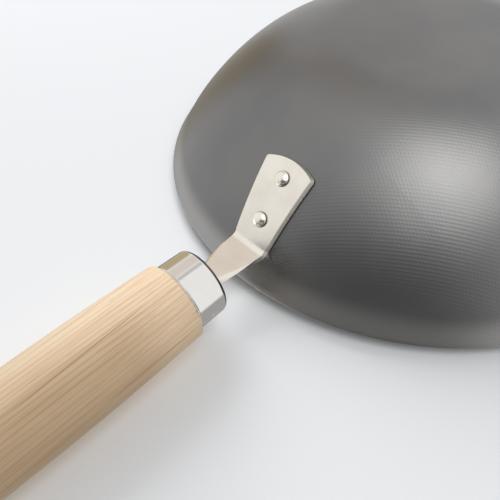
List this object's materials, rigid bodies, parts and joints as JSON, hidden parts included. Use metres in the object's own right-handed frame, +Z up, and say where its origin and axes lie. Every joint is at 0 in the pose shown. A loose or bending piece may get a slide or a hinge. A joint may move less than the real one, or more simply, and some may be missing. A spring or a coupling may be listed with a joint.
{
  "type": "iron steamer pot",
  "caption": "Round iron pot with a curved wall, flared lip and flat base, and a round wooden handle held by a riveted steel bracket, a polished ferrule and a through rod.",
  "frame": {"origin": "centre of the flat base's underside", "axes": "+Z up, out of the pot's mouth; +X along the handle, away from the pot; +Y to the left of someone who looks along +X"},
  "size_m": [0.4273, 0.26, 0.0766],
  "materials": {
    "pot_iron": "satin dark grey with a fine woven texture",
    "bracket_steel": "satin",
    "ferrule_steel": "polished",
    "grip_wood": "smooth, straight grained, unvarnished",
    "hidden_steel": "plain"
  },
  "bodies": {
    "root": {"pot_body": "pot_iron", "handle_bracket": "bracket_steel", "upper_rivet": "bracket_steel", "lower_rivet": "bracket_steel", "ferrule": "ferrule_steel", "ferrule_pin": "bracket_steel", "wooden_grip": "grip_wood", "tang_rod": "hidden_steel", "tang_rivet": "hidden_steel", "tail_washer": "bracket_steel", "tail_cap_nut": "bracket_steel"}
  },
  "joints": []
}
